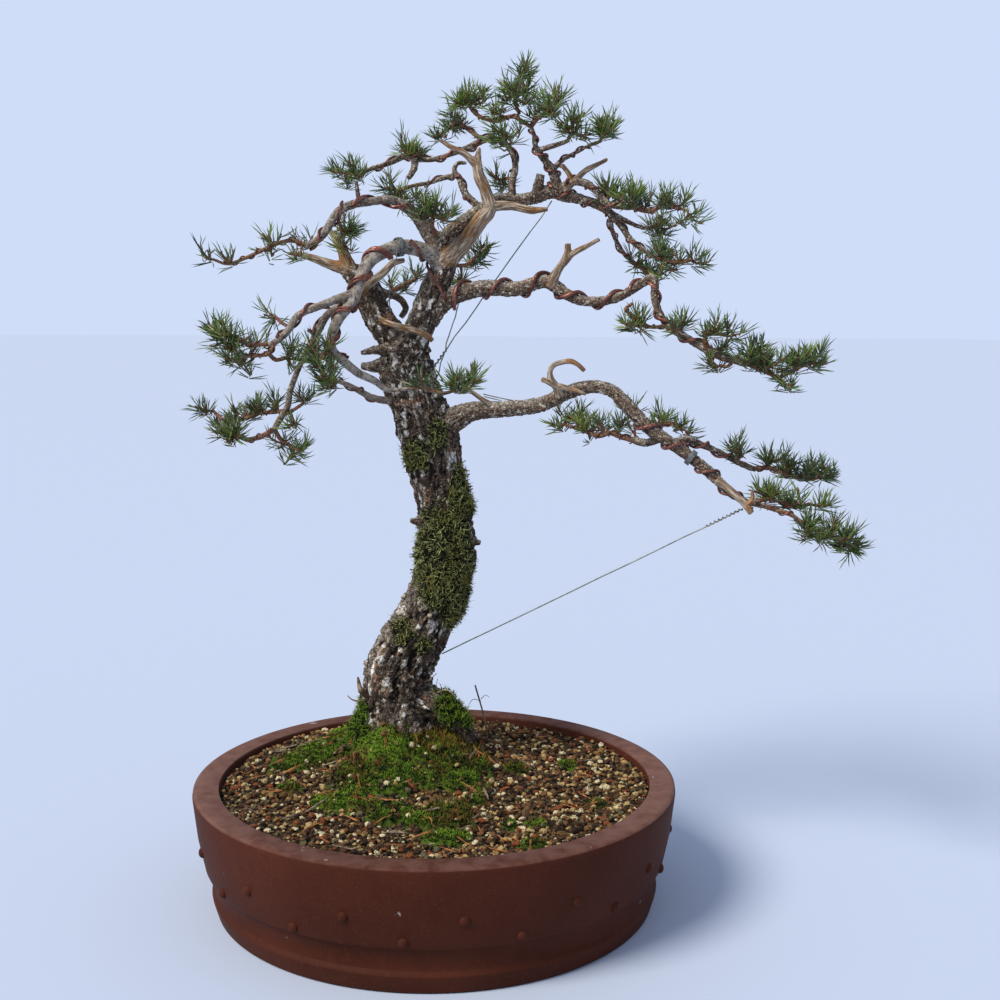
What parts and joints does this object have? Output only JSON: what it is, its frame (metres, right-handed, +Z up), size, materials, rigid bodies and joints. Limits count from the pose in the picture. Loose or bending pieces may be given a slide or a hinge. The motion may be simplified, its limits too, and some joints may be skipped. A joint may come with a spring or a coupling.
{
  "type": "pine bonsai in a pot",
  "caption": "Old wired pine bonsai with a curved trunk, bare dead branches and sprays of paired needles, growing in a round low clay pot.",
  "frame": {"origin": "centre of the pot's flat underside, where it stands", "axes": "+Z up along the tree's height; seen from the front along +Y, with +X to the right, towards the long low branch"},
  "size_m": [0.6708, 0.46, 0.804],
  "materials": {
    "clay": "unglazed, matt, red-brown",
    "soil": "coarse matt grit",
    "moss": "soft, matt",
    "bark": "rough flaking bark and bleached deadwood",
    "needles": "waxy, semi-matt pine needles",
    "copper_wire": "dull annealed copper",
    "guy_wire": "thin drawn wire",
    "soft_tie": "matt soft band",
    "drain_screen": "matt mesh sheet"
  },
  "bodies": {
    "root": {"pot": "clay", "drain_screen_left": "drain_screen", "drain_screen_right": "drain_screen", "soil": "soil", "moss_cushion": "moss", "wood": "bark", "wire_branch_right": "copper_wire", "wire_fork": "copper_wire", "wire_arch_top": "copper_wire", "wire_arch_low": "copper_wire", "wire_left_middle": "copper_wire", "wire_left_upper": "copper_wire", "guy_low_branch": "guy_wire", "guy_crown": "guy_wire", "guy_right_branch": "guy_wire", "tie_arch": "soft_tie", "tie_low_branch": "soft_tie", "needles_left_upper_tip": "needles", "needles_left_upper_inner": "needles", "needles_second_left_tip": "needles", "needles_third_left_tip": "needles", "needles_second_left_mid": "needles", "needles_crown_left": "needles", "needles_crown_top_left": "needles", "needles_apex": "needles", "needles_crown_inner": "needles", "needles_crown_top_right": "needles", "needles_crown_shelf_tip": "needles", "needles_crown_side_tip": "needles", "needles_right_high_tip": "needles", "needles_right_high_inner": "needles", "needles_right_fall_tip": "needles", "needles_right_drop_tip": "needles", "needles_right_back_tip": "needles", "needles_right_loop": "needles", "needles_right_pair": "needles", "needles_right_outer": "needles", "needles_right_tip": "needles", "needles_right_hook": "needles", "needles_low_tip": "needles", "needles_low_upper": "needles", "needles_fork_tip": "needles", "needles_fork_inner": "needles", "needles_back_tip": "needles", "needles_back_right": "needles", "needles_left_middle_tip": "needles", "needles_left_middle_lower": "needles", "needles_left_middle_right": "needles", "needles_left_middle_top": "needles", "needles_low_left_pad": "needles", "needles_low_left_bottom": "needles", "needles_low_left_right": "needles", "needles_low_left_up": "needles", "needles_low_twig_tip": "needles", "needles_arch_side": "needles", "needles_behind_limbs": "needles", "needles_behind_jin": "needles", "needles_trunk_front": "needles", "needles_crown_base": "needles", "needles_inner_single": "needles"}
  },
  "joints": []
}
